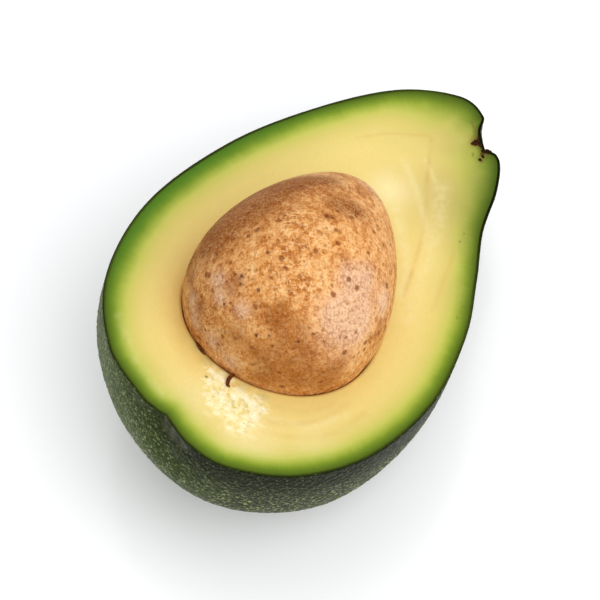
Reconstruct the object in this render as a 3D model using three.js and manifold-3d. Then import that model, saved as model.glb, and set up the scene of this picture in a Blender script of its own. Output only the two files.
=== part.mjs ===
// Half of an avocado, cut lengthwise, with its seed in place. Millimetres, +Z up.
//
// The three pieces are drawn in the cut face's own frame: x runs to the neck, y to the
// left as seen from above the cut, and z out of the cut face. One group turns that frame
// to the pose in which the half lies on its belly, and puts the middle of the small flat
// spot that it rests on at the origin.

import * as THREE from "three";
import { mergeVertices } from "three/addons/utils/BufferGeometryUtils.js";
import Module from "manifold-3d";

const wasm = await Module();
wasm.setup();

// Crossings of the half, from the bottom of the stem notch to the blossom end. Each says
// where it meets the rim on the right and on the left, and how deep the belly hangs there.
const CROSSINGS = [
  { right: [55.2, -12.4], left: [55.2, -12.4], depth: 0 },
  { right: [55.6, -15.0], left: [58.6, -9.4], depth: 2.6 },
  { right: [53.2, -17.4], left: [62.8, -7.6], depth: 6.5 },
  { right: [46.6, -20.2], left: [64.0, -1.0], depth: 11.8 },
  { right: [36.6, -22.9], left: [56.6, 10.2], depth: 19.1 },
  { right: [25.0, -28.2], left: [41.0, 21.0], depth: 26.7 },
  { right: [11.5, -33.5], left: [21.5, 30.0], depth: 33.3 },
  { right: [-6.5, -36.4], left: [-1.5, 34.6], depth: 36.8 },
  { right: [-24.5, -33.3], left: [-22.0, 31.2], depth: 34.3 },
  { right: [-38.0, -24.6], left: [-35.8, 21.6], depth: 25.7 },
  { right: [-45.2, -12.6], left: [-41.6, 11.0], depth: 15.1 },
  { right: [-45.6, -3.6], left: [-42.8, 6.0], depth: 5.7 },
  { right: [-42.8, 3.6], left: [-42.8, 3.6], depth: 0 },
];

// A crossing is half of a superellipse: 2 gives an ellipse, and more is fuller.
const CROSSING_POWER = 2.3;

// The skin is slightly uneven. The swells fade out toward the cut.
const SWELL_HEIGHT = 0.45;
const SWELL_LENGTH = 9;
const SWELL_FADE_DEPTH = 14;

// The peel, and the clearance that the separate pieces keep.
const SKIN_WALL = 0.9;
const CLEARANCE = 0.3;

// The seed is an egg whose narrow end points to the neck. It stands proud of the cut, is
// turned a little toward the left side and tips its narrow end up out of the cut face.
const SEED = {
  centre: [-1.3, -0.8, 5.0],
  halfLength: 25.4,
  halfWidth: 19.8,
  heightToWidth: 1.05,
  taper: 0.27,
  turn: THREE.MathUtils.degToRad(4.5),
  tipUp: THREE.MathUtils.degToRad(4.4),
};

// The half lies with its neck down and its left side up. What would hang lower than the
// rest point is pressed flat, to the table's level, and the rest point is the origin.
const NECK_DOWN = THREE.MathUtils.degToRad(10.9);
const LEFT_SIDE_UP = THREE.MathUtils.degToRad(6.2);
const REST_POINT = new THREE.Vector3(7.5, -3.2, -34.7);

// Facets: along and around the half, and along and around the seed.
const BODY_STEPS = { along: 60, around: 30 };
const SEED_STEPS = { along: 26, around: 32 };

const COLOURS = { skin: 0x39452b, flesh: 0xe9de96, seed: 0xb97c46 };

const pose = new THREE.Quaternion().setFromEuler(
  new THREE.Euler(LEFT_SIDE_UP, NECK_DOWN, 0, "YXZ"));

// World up, as the cut face's frame sees it.
const up = new THREE.Vector3(0, 0, 1).applyQuaternion(pose.clone().invert());

function rail(points) {
  return new THREE.CatmullRomCurve3(points.map(([x, y, z = 0]) => new THREE.Vector3(x, y, z)),
    false, "catmullrom", 0.5);
}

const rightRim = rail(CROSSINGS.map((crossing) => crossing.right));
const leftRim = rail(CROSSINGS.map((crossing) => crossing.left));
const keel = rail(CROSSINGS.map((crossing, i) => [i, 0, crossing.depth]));

function signedPower(value, power) {
  return Math.sign(value) * Math.abs(value) ** power;
}

function swell({ x, y, z }) {
  const waves = Math.sin(x / SWELL_LENGTH + 0.6) * Math.cos(y / SWELL_LENGTH - 0.4)
    + 0.6 * Math.sin((x + y - z) / (0.7 * SWELL_LENGTH));
  return SWELL_HEIGHT * waves * THREE.MathUtils.smoothstep(-z, 0, SWELL_FADE_DEPTH);
}

// A point of the belly: along runs from the stem to the blossom end, and turn goes from
// the right rim, under the belly, to the left rim.
function bellyPoint(along, turn) {
  const right = rightRim.getPoint(along);
  const left = leftRim.getPoint(along);
  const across = signedPower(Math.cos(turn), 2 / CROSSING_POWER);
  const down = signedPower(Math.sin(turn), 2 / CROSSING_POWER);
  const point = left.clone().lerp(right, (1 + across) / 2);
  point.z = -down * keel.getPoint(along).z;
  return point;
}

// The belly is an open bowl: one vertex at the stem, rows across, one at the blossom end.
function bowlRows() {
  const rows = [];
  for (let i = 1; i < BODY_STEPS.along; i += 1) {
    const row = [];
    for (let j = 0; j <= BODY_STEPS.around; j += 1) {
      row.push(bellyPoint(i / BODY_STEPS.along, Math.PI * j / BODY_STEPS.around));
    }
    row[0].z = 0;
    row[BODY_STEPS.around].z = 0;
    rows.push(row);
  }
  return rows;
}

// Faces of a surface made of a first tip, rows of equal length and a last tip. A closed
// row joins its last point to its first.
function rowFaces(rowCount, rowLength, closed) {
  const faces = [];
  const at = (i, j) => 1 + i * rowLength + (j % rowLength);
  const last = 1 + rowCount * rowLength;
  const strips = closed ? rowLength : rowLength - 1;
  for (let j = 0; j < strips; j += 1) {
    faces.push([0, at(0, j), at(0, j + 1)]);
    for (let i = 0; i + 1 < rowCount; i += 1) {
      faces.push([at(i, j), at(i + 1, j), at(i + 1, j + 1)]);
      faces.push([at(i, j), at(i + 1, j + 1), at(i, j + 1)]);
    }
    faces.push([at(rowCount - 1, j), last, at(rowCount - 1, j + 1)]);
  }
  return faces;
}

function surface(points, faces) {
  const geometry = new THREE.BufferGeometry().setFromPoints(points);
  geometry.setIndex(faces.flat());
  return geometry;
}

function normalsOf(points, faces) {
  const geometry = surface(points, faces);
  geometry.computeVertexNormals();
  const normal = geometry.getAttribute("normal");
  return points.map((point, i) => new THREE.Vector3().fromBufferAttribute(normal, i));
}

const bowlFaces = rowFaces(BODY_STEPS.along - 1, BODY_STEPS.around + 1, false);
const bowlTips = { stem: 0, blossom: 1 + (BODY_STEPS.along - 1) * (BODY_STEPS.around + 1) };

// The rim as a loop of vertex numbers: down the right side and back up the left.
function rimLoop() {
  const right = [];
  const left = [];
  for (let i = 0; i < BODY_STEPS.along - 1; i += 1) {
    const first = 1 + i * (BODY_STEPS.around + 1);
    right.push(first);
    left.unshift(first + BODY_STEPS.around);
  }
  return [bowlTips.stem, ...right, bowlTips.blossom, ...left];
}

const rim = rimLoop();

function bellySurface() {
  const smooth = [bellyPoint(0, 0), ...bowlRows().flat(), bellyPoint(1, 0)];
  const normals = normalsOf(smooth, bowlFaces);
  return smooth.map((point, i) => point.clone().addScaledVector(normals[i], swell(point)));
}

// Raises what hangs under the table's level to that level, so that the spot is flat.
function pressFlat(points) {
  const level = REST_POINT.dot(up);
  return points.map((point) => {
    const sunk = Math.max(0, level - point.dot(up));
    return point.addScaledVector(up, sunk);
  });
}

const belly = pressFlat(bellySurface());

// Directions in which the peel has its thickness: level at the rim, so the cut stays flat.
function wallDirections() {
  const directions = normalsOf(belly, bowlFaces);
  rim.forEach((i) => directions[i].setZ(0).normalize());
  return directions;
}

const outward = wallDirections();

function bellyInside(inset) {
  return belly.map((point, i) => point.clone().addScaledVector(outward[i], -inset));
}

// The peel: the belly, the same surface a wall further in, and the cut edge between them.
function skinGeometry() {
  const inner = bellyInside(SKIN_WALL);
  const offset = belly.length;
  const faces = [...bowlFaces];
  bowlFaces.forEach(([a, b, c]) => faces.push([c + offset, b + offset, a + offset]));
  rim.forEach((a, i) => {
    const b = rim[(i + 1) % rim.length];
    faces.push([b, a, a + offset], [b, a + offset, b + offset]);
  });
  return surface([...belly, ...inner], faces);
}

// The cut face: the rim's outline, filled. Its faces look up, out of the fruit.
function cutFaces(points) {
  const outline = rim.map((i) => new THREE.Vector2(points[i].x, points[i].y));
  return THREE.ShapeUtils.triangulateShape(outline, []).map(([a, b, c]) => {
    const turns = THREE.ShapeUtils.area([outline[a], outline[b], outline[c]]) > 0;
    return (turns ? [a, b, c] : [a, c, b]).map((i) => rim[i]);
  });
}

function eggGeometry(growth) {
  const attitude = new THREE.Euler(0, -SEED.tipUp, SEED.turn, "ZYX");
  const halfLength = SEED.halfLength + growth;
  const halfWidth = SEED.halfWidth + growth;
  const { along, around } = SEED_STEPS;
  const points = [new THREE.Vector3(halfLength, 0, 0)];
  for (let i = 1; i < along; i += 1) {
    const station = Math.cos(Math.PI * i / along);
    const radius = halfWidth * Math.sqrt(1 - station ** 2) * (1 - SEED.taper * station);
    for (let j = 0; j < around; j += 1) {
      const angle = 2 * Math.PI * j / around;
      points.push(new THREE.Vector3(halfLength * station, radius * Math.cos(angle),
        radius * SEED.heightToWidth * Math.sin(angle)));
    }
  }
  points.push(new THREE.Vector3(-halfLength, 0, 0));
  const centre = new THREE.Vector3(...SEED.centre);
  points.forEach((point) => point.applyEuler(attitude).add(centre));
  return surface(points, rowFaces(along - 1, around, true));
}

function toSolid(geometry) {
  const merged = mergeVertices(geometry, 1e-4);
  return new wasm.Manifold(new wasm.Mesh({
    numProp: 3,
    vertProperties: new Float32Array(merged.getAttribute("position").array),
    triVerts: new Uint32Array(merged.getIndex().array),
  }));
}

function toGeometry(solid) {
  const { vertProperties, triVerts } = solid.getMesh();
  const geometry = new THREE.BufferGeometry();
  geometry.setAttribute("position", new THREE.BufferAttribute(vertProperties, 3));
  geometry.setIndex(new THREE.BufferAttribute(triVerts, 1));
  return geometry;
}

// The flesh fills the peel up to the cut, and the seed's hollow is cut out of it.
function fleshGeometry() {
  const points = bellyInside(SKIN_WALL + CLEARANCE);
  const whole = toSolid(surface(points, [...bowlFaces, ...cutFaces(points)]));
  return toGeometry(whole.subtract(toSolid(eggGeometry(CLEARANCE))));
}

function piece(name, geometry, roughness) {
  const material = new THREE.MeshStandardMaterial({ color: COLOURS[name], roughness });
  const mesh = new THREE.Mesh(geometry, material);
  mesh.name = name;
  return mesh;
}

const half = new THREE.Group();
half.quaternion.copy(pose);
half.position.copy(REST_POINT).applyQuaternion(pose).negate();
half.add(piece("skin", skinGeometry(), 0.7));
half.add(piece("flesh", fleshGeometry(), 0.45));
half.add(piece("seed", eggGeometry(0), 0.55));

const avocado = new THREE.Group();
avocado.add(half);

export default avocado;
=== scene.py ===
"""The looks of half an avocado with its seed: peel, flesh, seed and what clings to them.

Shapes are worked out in millimetres in the cut face's own frame: x to the neck, y to the
left as seen from above the cut, z out of the cut. to_row turns them into the row's metres.
"""

import math

import bmesh
import bpy
import numpy as np
from mathutils import Matrix, Vector, kdtree, noise


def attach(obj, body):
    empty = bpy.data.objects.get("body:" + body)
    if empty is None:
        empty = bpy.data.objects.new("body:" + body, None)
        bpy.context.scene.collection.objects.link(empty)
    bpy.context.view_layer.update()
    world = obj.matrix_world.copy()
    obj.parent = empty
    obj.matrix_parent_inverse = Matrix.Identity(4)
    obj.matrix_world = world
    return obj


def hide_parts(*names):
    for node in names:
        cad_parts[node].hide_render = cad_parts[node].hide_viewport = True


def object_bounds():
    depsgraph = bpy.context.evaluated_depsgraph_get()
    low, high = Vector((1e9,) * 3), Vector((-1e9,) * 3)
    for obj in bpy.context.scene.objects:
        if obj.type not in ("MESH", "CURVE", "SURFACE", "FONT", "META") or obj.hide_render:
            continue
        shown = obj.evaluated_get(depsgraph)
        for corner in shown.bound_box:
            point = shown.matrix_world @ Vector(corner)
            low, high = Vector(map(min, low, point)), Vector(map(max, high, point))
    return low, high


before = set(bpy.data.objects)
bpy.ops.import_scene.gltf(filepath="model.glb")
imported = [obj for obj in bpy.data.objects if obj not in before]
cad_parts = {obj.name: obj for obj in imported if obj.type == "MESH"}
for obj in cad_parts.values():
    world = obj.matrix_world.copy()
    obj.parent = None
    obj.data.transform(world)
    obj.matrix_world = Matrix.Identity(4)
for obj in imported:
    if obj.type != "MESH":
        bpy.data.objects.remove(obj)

bl_info = {
    "name": "Half avocado",
    "version": (1, 0, 0),
    "blender": (4, 5, 0),
    "location": "3D View > Sidebar > Avocado",
    "description": "Makes the peel, flesh and seed of a cut avocado round its solids",
    "category": "Add Mesh",
}

CAD_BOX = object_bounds()
MM = 0.001

# The half, as the solids have it: where each crossing meets the rim on the right (x, y)
# and on the left (x, y), and how deep the belly hangs there.
CROSSINGS = (
    (55.2, -12.4, 55.2, -12.4, 0.0),
    (55.6, -15.0, 58.6, -9.4, 2.6),
    (53.2, -17.4, 62.8, -7.6, 6.5),
    (46.6, -20.2, 64.0, -1.0, 11.8),
    (36.6, -22.9, 56.6, 10.2, 19.1),
    (25.0, -28.2, 41.0, 21.0, 26.7),
    (11.5, -33.5, 21.5, 30.0, 33.3),
    (-6.5, -36.4, -1.5, 34.6, 36.8),
    (-24.5, -33.3, -22.0, 31.2, 34.3),
    (-38.0, -24.6, -35.8, 21.6, 25.7),
    (-45.2, -12.6, -41.6, 11.0, 15.1),
    (-45.6, -3.6, -42.8, 6.0, 5.7),
    (-42.8, 3.6, -42.8, 3.6, 0.0),
)
CROSSING_POWER = 2.3
SWELL_HEIGHT = 0.45
SWELL_LENGTH = 9.0
SWELL_FADE_DEPTH = 14.0

# The seed stands proud of the cut, turned to the left with its narrow end tipped up.
SEED_CENTRE = np.array((-1.3, -0.8, 5.0))
SEED_TURN = math.radians(4.5)
SEED_TIP_UP = math.radians(4.4)

# How the half lies: its neck down, its left side up, its rest point at the origin.
NECK_DOWN = math.radians(10.9)
LEFT_SIDE_UP = math.radians(6.2)
REST_POINT = np.array((7.5, -3.2, -34.7))
POSE = Matrix.Rotation(NECK_DOWN, 3, "Y") @ Matrix.Rotation(LEFT_SIDE_UP, 3, "X")
POSE_ARRAY = np.array(POSE)

# The picture's viewing angle, in degrees. Its pixel ORIGIN_PX shows the middle of the cut
# face's frame.
VIEW_AZIMUTH = -58
VIEW_ELEVATION = 60
VIEW_DISTANCE = 800.0
PX_PER_MM = 2.517
ORIGIN_PX = (238.0, 325.0)
FRAME_CENTRE_PX = (240.0, 332.0)
FRAME_WIDTH_PX = 300.0
SENSOR_WIDTH = 36.0

# Marks of this fruit, with painted highlights and painted shade among them, by the pixels that
# show them. After the place comes a radius or a width in millimetres, and then, in some lists, a
# strength.
TORN_OUTLINE_PX = (
    (193, 362), (189, 370), (190, 381), (194, 390), (203, 399), (213, 403), (222, 396), (227, 387),
    (222, 379), (211, 373), (202, 366),
)
VEINS_PX = (
    (((306, 252), (304, 268), (303, 285), (300, 305), (292, 330)), 0.5, 0.8),
    (((268, 251), (284, 249), (305, 250)), 0.4, 0.5),
    (((216, 390), (232, 394), (250, 392), (264, 384)), 0.8, 0.42),
    (((222, 398), (240, 401), (258, 398), (272, 389)), 0.7, 0.34),
    (((226, 385), (240, 388), (256, 385)), 0.8, 0.3),
    (((318, 306), (312, 322), (306, 338)), 0.5, 0.4),
    (((206.2, 374.2), (208.4, 376.4), (210.2, 379.2)), 0.22, 1.7),
    (((207.8, 373.4), (209.8, 375.2), (211.6, 376.6)), 0.2, 1.5),
)
STREAKS_PX = (
    (((284, 276), (289, 292), (293, 312), (291, 330)), 1.3, 0.65),
    (((292, 262), (299, 280), (303, 300), (297, 330)), 0.9, 0.5),
    (((311, 276), (308, 296), (300, 322), (294, 342)), 1.8, 0.5),
    (((303, 262), (310, 280), (311, 296)), 0.6, 0.5),
    (((228, 392), (246, 395), (262, 389)), 0.9, 0.6),
    (((150, 340), (158, 362), (172, 380)), 1.0, 0.25),
)
# Painted highlights on the lumps of the torn place.
TORN_HIGHLIGHT_PX = (
    (216, 384, 1.3), (217.5, 390, 1.4), (212, 381, 1.0), (203, 373, 0.9), (196, 368, 0.9),
    (207, 381, 0.9), (200, 380, 0.8), (221, 387, 0.8),
)
FLESH_MARKS_PX = (
    (326.2, 243.4, 0.4), (327.2, 245.4, 0.5), (328.2, 247.4, 0.6), (193, 370.3, 0.34),
    (326.5, 259.2, 0.4), (320, 303, 0.3), (322, 299, 0.22), (331, 262.5, 0.3), (199.5, 377, 0.2),
    (318.5, 341, 0.25),
)
# Pale flesh; at the first place, beside the seed's upper right, a painted highlight.
PALE_AND_HIGHLIGHT_PX = ((285, 277, 4.2, 1.0), (189, 381, 6.0, 0.5), (214, 403, 6.5, 0.6), (246, 404, 5.0, 0.35))
NECK_GREY_PX = (
    (315, 283, 10.0, 0.55), (333, 274, 8.0, 0.5), (322, 252, 8.0, 0.4), (325, 302, 7.0, 0.34),
    (321, 328, 6.0, 0.2),
)
# Painted shade of the seed on the flesh along the hollow's lower left edge.
LIP_SHADE_PX = (
    (189, 355, 1.2, 0.6), (195, 362, 1.5, 0.85), (202, 369, 1.4, 0.7), (211, 375, 1.3, 0.7),
    (221, 380, 1.2, 0.6),
)
SEED_SPOTS_PX = (
    (253.5, 290, 0.6), (224, 308, 0.45), (219, 327, 0.5), (202, 334, 0.4), (218, 350, 0.46),
    (224.5, 350, 0.38), (247, 349, 0.42), (226, 355, 0.36), (268, 290, 0.42), (233, 316, 0.36),
    (198, 309, 0.36), (206, 307, 0.3), (218, 297, 0.5), (214, 300, 0.45), (239, 353, 0.42),
    (260, 351, 0.34), (256, 325, 0.3), (197, 295, 0.3), (268, 352, 0.3), (211, 320, 0.55),
    (207.5, 319, 0.4), (210, 324, 0.42), (233, 358, 0.3), (252, 308, 0.3),
)
SEED_SMUDGES_PX = ((209, 322, 1.5), (185.5, 320, 1.7), (190, 336, 1.5), (206, 328, 1.0))
SEED_STAINS_PX = (
    (236, 347, 2.8), (237, 357, 3.8), (240, 369, 4.8), (227, 341, 2.2), (252, 373, 3.4),
    (208, 350, 2.4), (231, 336, 1.6), (222, 360, 3.0), (222, 371, 3.2), (260, 364, 2.4),
)
# Pale bloom on the coat, partly a painted highlight, most at the lower right.
SEED_BLOOM_AND_HIGHLIGHT_PX = (
    (263, 346, 5.0), (258, 338, 3.4), (269, 333, 3.6), (200, 331, 1.6), (277, 277, 3.4),
    (264, 320, 2.6), (187, 342, 2.2), (270, 344, 3.2), (196, 353, 2.4), (205, 363, 2.2),
    (199, 322, 2.0), (211, 337, 1.8), (273, 320, 3.0), (282, 333, 3.0), (186, 332, 1.8),
)
SEED_SHADE_PX = (
    (205, 292, 7.5), (221, 280, 7.0), (195, 303, 4.0), (240, 272, 4.2), (212, 284, 6.0),
    (198, 294, 4.0), (185, 313, 2.4), (231, 275, 3.0), (254, 272, 3.2), (260, 284, 3.2), (269, 287, 2.4),
)
# Light scratches, gathered in the band of painted highlight across the seed's middle.
SEED_SCRATCH_AND_HIGHLIGHT_PX = (
    (238, 304, 4.0), (243, 315, 4.2), (246, 325, 3.6), (236, 290, 3.0), (233, 322, 3.0), (250, 296, 2.4),
)
STALK_CRUMBS_PX = (
    (328.8, 252.9, 1.0), (327.2, 253.6, 0.65), (330.3, 250.8, 0.55), (332.8, 257.8, 0.75),
    (331.5, 259.8, 0.5), (330.4, 262.0, 0.42), (334.8, 257.6, 0.45), (330.6, 254.6, 0.5),
)
SCRAPS_PX = (
    (((207.4, 369.4), (205.4, 370.4), (204.0, 372.4), (203.6, 374.4), (204.6, 375.6)), 0.42),
    (((188.3, 353.4), (189.9, 356.4), (192.4, 359.4)), 0.32),
)
CRACKS_PX = (
    ((215, 390.6), (213.6, 393.5), (212.5, 397)), ((204, 379), (206, 382), (206.5, 385)),
    ((220, 384), (221, 387), (219.4, 389)), ((211, 381), (213, 384), (213.4, 387)),
    ((195, 368), (196, 371)), ((198, 376), (199, 379)),
)
DENT_CENTRE = np.array((-44.2, 0.0, -1.9))
DENT_ALONG = np.array((-0.36, -0.93, 0.0))
DENT_HALF = (5.2, 2.1)
DENT_DEPTH = 0.36
PEEL_DOT_PX = (236, 422, 1.4, 0.6)


# Geometry of the half

def smoothstep(value, low, high):
    share = np.clip((value - low) / (high - low), 0, 1)
    return share * share * (3 - 2 * share)


def unit(vectors):
    length = np.linalg.norm(vectors, axis=-1, keepdims=True)
    return vectors / np.maximum(length, 1e-12)


def to_row(points):
    """Millimetres in the cut face's frame to metres in the row frame."""
    return (np.asarray(points, float) - REST_POINT) @ POSE_ARRAY.T * MM


def rail(points, along):
    """Uniform Catmull-Rom through the points, its ends mirrored; along runs from 0 to 1."""
    points = np.asarray(points, float)
    spans = len(points) - 1
    place = np.clip(along, 0, 1) * spans
    span = np.minimum(place.astype(int), spans - 1)
    step = (place - span)[:, None]
    ends = np.vstack([2 * points[0] - points[1], points, 2 * points[-1] - points[-2]])
    p0, p1, p2, p3 = (ends[span + k] for k in range(4))
    v1, v2 = (p2 - p0) / 2, (p3 - p1) / 2
    cubic = (2 * (p1 - p2) + v1 + v2) * step**3
    square = (3 * (p2 - p1) - 2 * v1 - v2) * step**2
    return cubic + square + v1 * step + p1


def even_along(count):
    """Places along the rails that cut both rims into steps of about one length."""
    fine = np.linspace(0, 1, 2400)
    line = rail(CROSSINGS, fine)
    steps = np.diff(line, axis=0)
    length = np.hypot(steps[:, 0], steps[:, 1]) + np.hypot(steps[:, 2], steps[:, 3])
    run = np.concatenate([[0], np.cumsum(length)])
    return np.interp(np.linspace(0, run[-1], count), run, fine)


def belly_shape(along, turn):
    """The belly before its swells: along from stem to blossom end, turn from right to left."""
    line = rail(CROSSINGS, along)
    right, left, depth = line[:, 0:2], line[:, 2:4], line[:, 4]
    across = np.sign(np.cos(turn)) * np.abs(np.cos(turn)) ** (2 / CROSSING_POWER)
    down = np.maximum(np.sin(turn), 0) ** (2 / CROSSING_POWER)
    share = (1 + across) / 2
    level = left[:, None] + (right - left)[:, None] * share[None, :, None]
    return np.dstack([level, -depth[:, None] * down[None, :]])


def outward_normals(grid):
    """Unit normals of a belly grid. Its end rows, which are single points, take a mean."""
    along = np.gradient(grid, axis=0)
    turn = np.gradient(grid, axis=1)
    normals = unit(np.cross(along, turn))
    for end, beside in ((0, 1), (-1, -2)):
        normals[end] = unit(normals[beside].mean(axis=0))
    normals[:, (0, -1), 2] = 0
    return unit(normals)


def swell(points):
    x, y, z = points[..., 0], points[..., 1], points[..., 2]
    waves = np.sin(x / SWELL_LENGTH + 0.6) * np.cos(y / SWELL_LENGTH - 0.4)
    waves += 0.6 * np.sin((x + y - z) / (0.7 * SWELL_LENGTH))
    return SWELL_HEIGHT * waves * smoothstep(-z, 0, SWELL_FADE_DEPTH)


def belly(along, turn):
    """The belly as the solids have it, swells and flat spot included, and its normals."""
    points = belly_shape(along, turn)
    points += outward_normals(points) * swell(points)[..., None]
    up = POSE_ARRAY[2]
    sunk = np.maximum(0, REST_POINT @ up - points @ up)
    points += sunk[..., None] * up
    return points, outward_normals(points)


def egg_axes():
    """Columns: the seed's long axis, its side and its height, in the cut face's frame."""
    turn = Matrix.Rotation(SEED_TURN, 3, "Z") @ Matrix.Rotation(-SEED_TIP_UP, 3, "Y")
    return np.array(turn)


BISECTIONS = 34
BEYOND_SEED = 60.0


def farthest_inside(count, is_inside):
    """How far each of a number of rays from the seed's middle stays inside, by bisection."""
    near, far = np.zeros(count), np.full(count, BEYOND_SEED)
    for _ in range(BISECTIONS):
        middle = (near + far) / 2
        inside = is_inside(middle)
        near, far = np.where(inside, middle, near), np.where(inside, far, middle)
    return near


def egg_distance(directions, seed, growth):
    """How far the seed's surface is from its centre along each direction."""
    local = unit(directions) @ egg_axes()
    length = seed.half_length / MM + growth
    width = seed.half_width / MM + growth

    def is_inside(distance):
        point = local * distance[..., None]
        station = point[..., 0] / length
        girth = np.sqrt(np.maximum(0, 1 - station**2)) * (1 - seed.taper * station) * width
        reach = np.hypot(point[..., 1], point[..., 2] / seed.height_to_width)
        return (np.abs(station) < 1) & (reach < girth)

    return farthest_inside(local.shape[:-1], is_inside)


def hollow_opening(directions, seed, growth):
    """Points where the grown seed meets the cut plane, in level directions from its centre."""
    level = unit(directions)

    def point_at(distance):
        return np.column_stack([SEED_CENTRE[:2] + level * distance[:, None], 0 * distance])

    def is_inside(distance):
        toward = point_at(distance) - SEED_CENTRE
        return np.linalg.norm(toward, axis=1) < egg_distance(toward, seed, growth)

    return point_at(farthest_inside(len(level), is_inside))


# Places that a pixel of the picture shows

# Where the seed is looked for on a pixel's ray, as shares of the way to the picture's plane.
SEED_PROBES = np.linspace(0.93, 1.03, 1200)


def bearing(azimuth, elevation):
    """The direction from the fruit to a camera or a light that stands at these degrees."""
    a, e = math.radians(azimuth), math.radians(elevation)
    return Vector((math.sin(a) * math.cos(e), -math.cos(a) * math.cos(e), math.sin(e)))


def view_axes():
    """Rows: the picture's right, its up and the way back to the camera, in the row frame."""
    a = math.radians(VIEW_AZIMUTH)
    back = bearing(VIEW_AZIMUTH, VIEW_ELEVATION)
    right = Vector((math.cos(a), math.sin(a), 0))
    return np.array((right, back.cross(right), back))


def pixel_ray(px, py):
    """The camera's place and the pixel's direction, in the cut face's frame."""
    axes = view_axes() @ POSE_ARRAY
    eye = axes[2] * VIEW_DISTANCE
    across = (px - ORIGIN_PX[0]) / PX_PER_MM
    upward = (ORIGIN_PX[1] - py) / PX_PER_MM
    return eye, axes[0] * across + axes[1] * upward - eye


def on_cut(px, py):
    """The point of the cut plane that a pixel shows, as x and y."""
    eye, ray = pixel_ray(px, py)
    return (eye - ray * eye[2] / ray[2])[:2]


def on_seed(px, py, seed):
    """The point of the seed that a pixel shows, as a direction from the seed's centre."""
    eye, ray = pixel_ray(px, py)
    toward = eye + ray * SEED_PROBES[:, None] - SEED_CENTRE
    inside = np.linalg.norm(toward, axis=1) < egg_distance(toward, seed, 0)
    if not inside.any():
        raise ValueError(f"pixel {px}, {py} doesn't show the seed")
    return toward[np.argmax(inside)]


# Meshes and objects

def new_object(name, data):
    made = bpy.data.objects.new(name, data)
    bpy.context.scene.collection.objects.link(made)
    return made


def add_float(mesh, name, values):
    layer = mesh.attributes.new(name, "FLOAT", "POINT")
    layer.data.foreach_set("value", np.asarray(values, np.float32).ravel())


def solid_from_rings(name, rings, attributes):
    """A closed mesh from closed rings whose first and last one fold up on themselves."""
    rows, columns = rings.shape[:2]
    r, c = np.meshgrid(np.arange(rows - 1), np.arange(columns), indexing="ij")
    here, beside = r * columns + c, r * columns + (c + 1) % columns
    quads = np.stack([here, here + columns, beside + columns, beside], axis=-1).reshape(-1, 4)
    mesh = bpy.data.meshes.new(name)
    mesh.from_pydata(to_row(rings.reshape(-1, 3)).tolist(), [], quads.tolist())
    for label, values in attributes.items():
        add_float(mesh, label, values)
    shape = bmesh.new()
    shape.from_mesh(mesh)
    bmesh.ops.remove_doubles(shape, verts=shape.verts, dist=2e-6)
    bmesh.ops.dissolve_degenerate(shape, edges=shape.edges, dist=1e-7)
    return outward_object(name, shape, mesh)


def outward_object(name, shape, mesh):
    """Turns all faces of a bmesh outwards and makes the mesh and its object from it."""
    bmesh.ops.recalc_face_normals(shape, faces=shape.faces)
    shape.to_mesh(mesh)
    shape.free()
    mesh.shade_smooth()
    return new_object(name, mesh)


def made_before(name):
    """A piece that another operator has made, which the one at work needs."""
    piece = bpy.data.objects.get(name)
    if piece is None:
        raise RuntimeError(f"{name} isn't there yet")
    return piece


def finish_piece(piece, material, slot, *replaced):
    """Puts the material on a piece and ties it to the frame."""
    piece.data.materials.clear()
    piece.data.materials.append(material)
    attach(piece, "root")
    if replaced:
        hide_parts(*replaced)


# Distances and noise

LINE_STEP = 0.15


def nearest_on(points, line):
    """For each point, which point of a dense line is nearest and how far it is, on the level."""
    tree = kdtree.KDTree(len(line))
    for i, place in enumerate(line):
        tree.insert((place[0], place[1], 0), i)
    tree.balance()
    found = [tree.find((p[0], p[1], 0)) for p in points]
    return np.array([hit[1] for hit in found]), np.array([hit[2] for hit in found])


def nearest_distance(points, line):
    return nearest_on(points, line)[1]


def dense_line(corners, closed=False):
    """Points along a polyline, close enough together to measure a distance by."""
    corners = np.asarray(corners, float)[:, :2]
    if closed:
        corners = np.vstack([corners, corners[:1]])
    pieces = []
    for a, b in zip(corners, corners[1:]):
        count = max(2, int(np.linalg.norm(b - a) / LINE_STEP))
        pieces.append(a + (b - a) * np.linspace(0, 1, count)[:, None])
    return np.vstack(pieces)


def smooth_path(pixels, count=40):
    """A smooth line on the cut through the places that these pixels show."""
    return rail([on_cut(*pixel) for pixel in pixels], np.linspace(0, 1, count))


def inside_outline(points, outline):
    """Which points lie inside a closed outline, by the even-odd rule."""
    inside = np.zeros(len(points), bool)
    x, y = points[:, 0], points[:, 1]
    for (ax, ay), (bx, by) in zip(outline, np.roll(outline, -1, axis=0)):
        crosses = (ay > y) != (by > y)
        slope = (bx - ax) / (by - ay if by != ay else 1e-9)
        inside ^= crosses & (x < ax + slope * (y - ay))
    return inside


def noise_at(points, size):
    """Smooth noise from -1 to 1 whose features measure about size. Level points have z 0."""
    return np.array([noise.noise(Vector(p).to_3d() / size) for p in points])


def haze(reach):
    """A mark that fades out from its middle, by the distance in radii."""
    return np.exp(-(reach**2))


def disc(reach):
    """An even mark with a soft border, by the distance in radii."""
    return 1 - smoothstep(reach, 0.5, 1.2)


def side_share(points, degrees, low, high, centre=(0, 0)):
    """How well the way from the centre to a point keeps to this bearing, from 0 to 1."""
    angle = np.arctan2(points[:, 1] - centre[1], points[:, 0] - centre[0])
    return smoothstep(np.cos(angle - math.radians(degrees)), low, high)


# Node trees

class Value:
    """A number in a node tree, which can be added, subtracted and multiplied there."""

    def __init__(self, nodes, socket):
        self.nodes = nodes
        self.socket = socket

    def __add__(self, other):
        return self.nodes.maths("ADD", self, other)

    def __sub__(self, other):
        return self.nodes.maths("SUBTRACT", self, other)

    def __mul__(self, other):
        return self.nodes.maths("MULTIPLY", self, other)


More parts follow.
